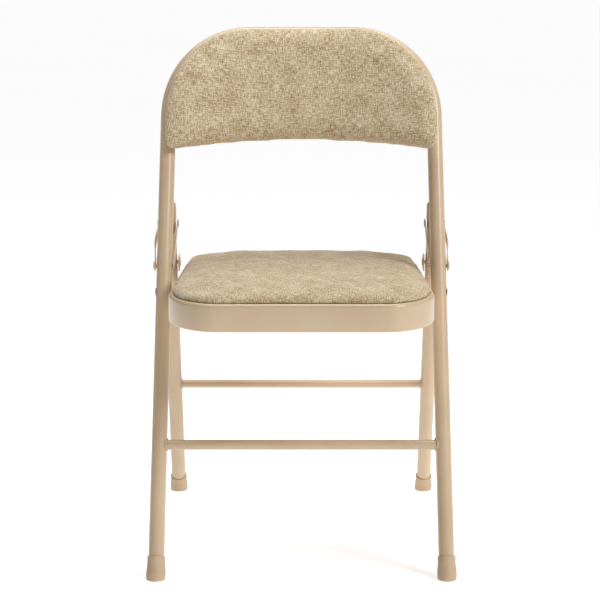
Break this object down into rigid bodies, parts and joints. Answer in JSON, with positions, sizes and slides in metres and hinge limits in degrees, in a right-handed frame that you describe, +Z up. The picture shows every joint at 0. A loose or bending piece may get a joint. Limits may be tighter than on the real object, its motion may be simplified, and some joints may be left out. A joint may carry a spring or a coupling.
{
  "type": "folding chair",
  "caption": "Steel-tube folding chair with an upholstered seat and an arched, upholstered backrest; it folds flat on pivots and side links.",
  "frame": {"origin": "on the floor, under the middle of the open chair's box", "axes": "+Z up, +X to the sitter's left, -Y is the way the sitter faces"},
  "size_m": [0.4362, 0.5718, 0.756],
  "materials": {
    "paint": "beige powder coat, satin, on steel tube and sheet",
    "cap": "moulded beige plastic, satin",
    "fabric": "straw and tan linen-like weave with slubs",
    "foam": "upholstery foam, hidden",
    "board": "hardboard, hidden",
    "zinc": "zinc-plated steel"
  },
  "bodies": {
    "front_frame": {"front_tube": "paint", "front_crossbar": "paint", "back_panel": "paint", "back_board": "board", "back_foam": "foam", "back_cover": "fabric", "back_screw_1": "zinc", "back_screw_2": "zinc", "back_screw_3": "zinc", "back_screw_4": "zinc", "link_rivet_left": "paint", "link_rivet_right": "paint", "seat_rivet_left": "paint", "seat_rivet_right": "paint", "seat_spacer_left": "zinc", "seat_spacer_right": "zinc", "front_foot_left": "cap", "front_foot_right": "cap"},
    "seat": {"seat_pan": "paint", "seat_board": "board", "seat_foam": "foam", "seat_cover": "fabric", "seat_screw_1": "zinc", "seat_screw_2": "zinc", "seat_screw_3": "zinc", "seat_screw_4": "zinc", "seat_bracket_left": "paint", "seat_bracket_right": "paint", "leg_rivet_left": "paint", "leg_rivet_right": "paint"},
    "rear_legs": {"rear_crossbar": "paint", "rear_leg_left": "paint", "rear_leg_right": "paint", "rear_cap_left": "cap", "rear_cap_right": "cap", "rear_foot_left": "cap", "rear_foot_right": "cap"},
    "link_left": {"link_outer_left": "paint", "link_inner_left": "paint", "link_head_outer_left": "paint", "link_head_inner_left": "paint"},
    "link_right": {"link_outer_right": "paint", "link_inner_right": "paint", "link_head_outer_right": "paint", "link_head_inner_right": "paint"}
  },
  "joints": [
    {"name": "seat_fold", "type": "hinge", "parent": "front_frame", "child": "seat", "pos_m": [0, -0.06839, 0.38554], "axis": [-1, 0, 0], "range_deg": [0, 109.5]},
    {"name": "rear_leg_fold", "type": "hinge", "parent": "seat", "child": "rear_legs", "pos_m": [0, 0.04961, 0.41014], "axis": [-1, 0, 0], "range_deg": [-61.42, 0]},
    {"name": "link_left_fold", "type": "hinge", "parent": "front_frame", "child": "link_left", "pos_m": [0, -0.05563, 0.42156], "axis": [-1, 0, 0], "range_deg": [0, 129.42]},
    {"name": "link_right_fold", "type": "hinge", "parent": "front_frame", "child": "link_right", "pos_m": [0, -0.05563, 0.42156], "axis": [-1, 0, 0], "range_deg": [0, 129.42]}
  ],
  "couplings": [
    {"joint": "rear_leg_fold", "follows": "seat_fold", "ratio": -0.56087},
    {"joint": "link_left_fold", "follows": "seat_fold", "ratio": 1.1818},
    {"joint": "link_right_fold", "follows": "seat_fold", "ratio": 1.1818}
  ]
}
